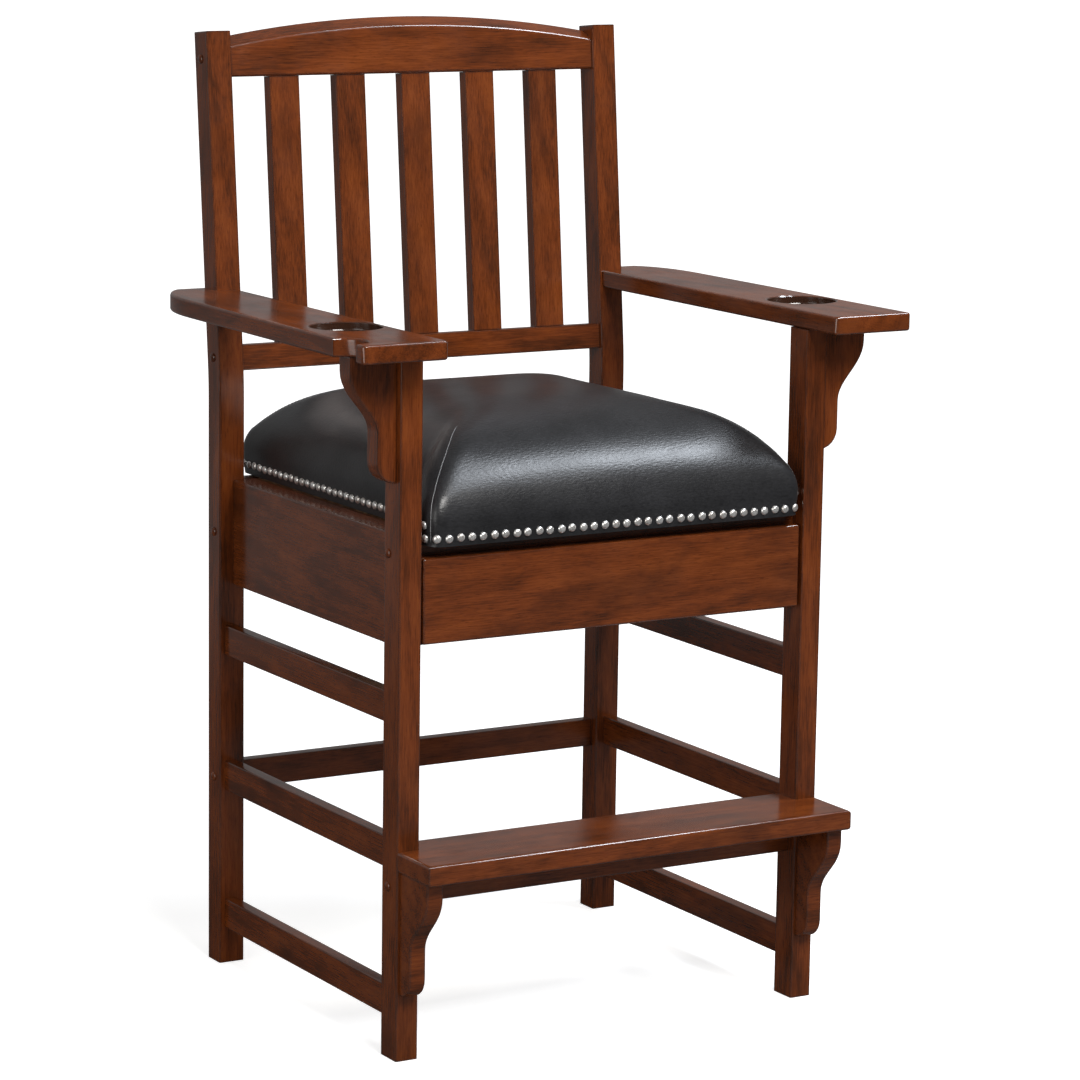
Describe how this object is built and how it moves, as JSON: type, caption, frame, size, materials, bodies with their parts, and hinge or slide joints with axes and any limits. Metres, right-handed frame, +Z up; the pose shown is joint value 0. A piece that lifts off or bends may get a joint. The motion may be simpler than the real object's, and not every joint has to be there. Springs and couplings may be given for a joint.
{
  "type": "bar height chair",
  "caption": "Bar height armchair with a slatted back, crowned leather seat, drawer under the seat, footrest board, and wide arms with cup recesses and a side rest notch.",
  "frame": {"origin": "on the floor, under the middle of the chair's bounding box", "axes": "+Z up, -Y the way the sitter faces, +X towards the right of someone who faces the chair"},
  "size_m": [0.7538, 0.6232, 1.1972],
  "materials": {
    "cherry": "dark cherry stain under semi-gloss lacquer",
    "dark_cherry": "dark cherry stain, in the shade of the seat",
    "leather": "black, fine grained, slight sheen",
    "birch": "clear sealed",
    "plywood": "bare"
  },
  "bodies": {
    "frame": {"front_leg_left": "cherry", "front_leg_right": "cherry", "rear_leg_left": "cherry", "rear_leg_right": "cherry", "crest_rail": "cherry", "lower_back_rail": "cherry", "back_slat_1": "cherry", "back_slat_2": "cherry", "back_slat_3": "cherry", "back_slat_4": "cherry", "back_slat_5": "cherry", "arm_left": "cherry", "arm_right": "cherry", "arm_bracket_left": "cherry", "arm_bracket_right": "cherry", "side_apron_left": "cherry", "side_apron_right": "cherry", "front_seat_rail": "dark_cherry", "rear_apron": "dark_cherry", "upper_side_stretcher_left": "cherry", "upper_side_stretcher_right": "cherry", "middle_side_stretcher_left": "cherry", "middle_side_stretcher_right": "cherry", "lower_side_stretcher_left": "cherry", "lower_side_stretcher_right": "cherry", "rear_stretcher": "cherry", "front_stretcher": "cherry", "footrest": "cherry", "footrest_bracket_left": "cherry", "footrest_bracket_right": "cherry", "corner_block_front_left": "birch", "corner_block_front_right": "birch", "corner_block_rear_left": "birch", "corner_block_rear_right": "birch", "seat_board": "plywood", "seat_cushion": "leather", "drawer_runner_left": "birch", "drawer_runner_right": "birch", "plug_front_seat_rail_left": "cherry", "plug_front_seat_rail_right": "cherry", "plug_front_stretcher_left": "cherry", "plug_front_stretcher_right": "cherry", "plug_rear_stretcher_left": "cherry", "plug_rear_stretcher_right": "cherry", "plug_rear_apron_left": "cherry", "plug_rear_apron_right": "cherry", "plug_rear_lower_back_rail_left": "cherry", "plug_rear_lower_back_rail_right": "cherry", "plug_rear_crest_rail_left": "cherry", "plug_rear_crest_rail_right": "cherry"},
    "drawer": {"drawer_front": "cherry", "drawer_side_left": "birch", "drawer_side_right": "birch", "drawer_back": "birch", "drawer_bottom": "birch"}
  },
  "joints": [
    {"name": "drawer_slide", "type": "slide", "parent": "frame", "child": "drawer", "axis": [0, -1, 0], "range_m": [0, 0.26]}
  ]
}
